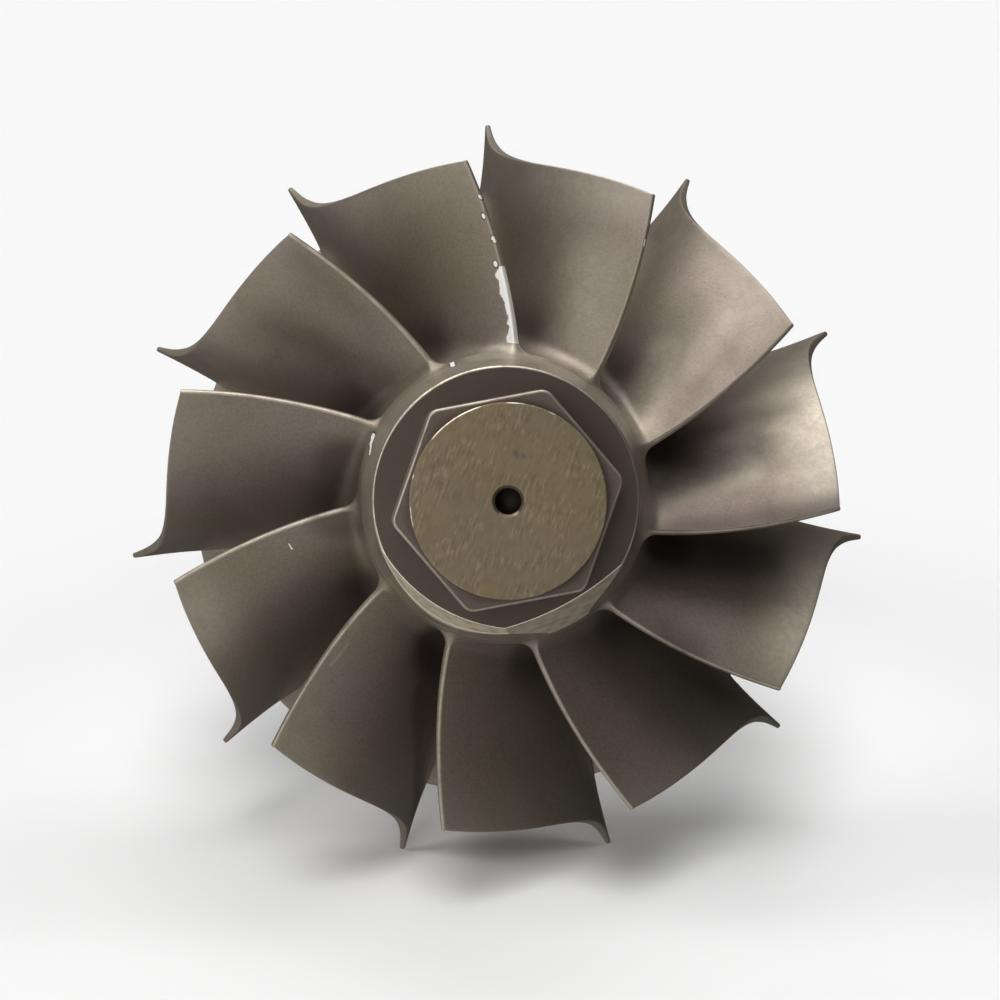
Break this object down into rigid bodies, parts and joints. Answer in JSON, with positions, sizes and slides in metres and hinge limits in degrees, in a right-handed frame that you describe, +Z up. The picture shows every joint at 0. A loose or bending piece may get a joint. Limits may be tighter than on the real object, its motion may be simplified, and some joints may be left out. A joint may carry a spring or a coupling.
{
  "type": "turbocharger turbine wheel",
  "caption": "Mixed-flow turbine wheel with swept blades, a back disc, a hexagonal nose and a stepped shaft, standing on its blade tips and the shaft's end.",
  "frame": {"origin": "middle of the footprint box, on the ground that the blade tips and the shaft's end stand on", "axes": "+Z up; +Y back from the nose along the shaft; the rotor's own axis is in the YZ plane, raised 14.2 degrees at the nose"},
  "size_m": [0.0708, 0.1592, 0.0683],
  "materials": {
    "cast_alloy": "satin, fine cast grain, warm grey-brown",
    "turned_alloy": "turned and wiped, with a fine slanting lay",
    "shaft_steel": "ground, fine circular lay"
  },
  "bodies": {
    "root": {"hub": "cast_alloy", "back_disc": "cast_alloy", "blade_01": "cast_alloy", "blade_02": "cast_alloy", "blade_03": "cast_alloy", "blade_04": "cast_alloy", "blade_05": "cast_alloy", "blade_06": "cast_alloy", "blade_07": "cast_alloy", "blade_08": "cast_alloy", "blade_09": "cast_alloy", "blade_10": "cast_alloy", "blade_11": "cast_alloy", "nose_collar": "cast_alloy", "nose_hexagon": "cast_alloy", "nose_face": "turned_alloy", "weld_boss": "shaft_steel", "seal_boss": "shaft_steel", "bearing_journal": "shaft_steel", "compressor_stub": "shaft_steel", "threaded_end": "shaft_steel"}
  },
  "joints": []
}
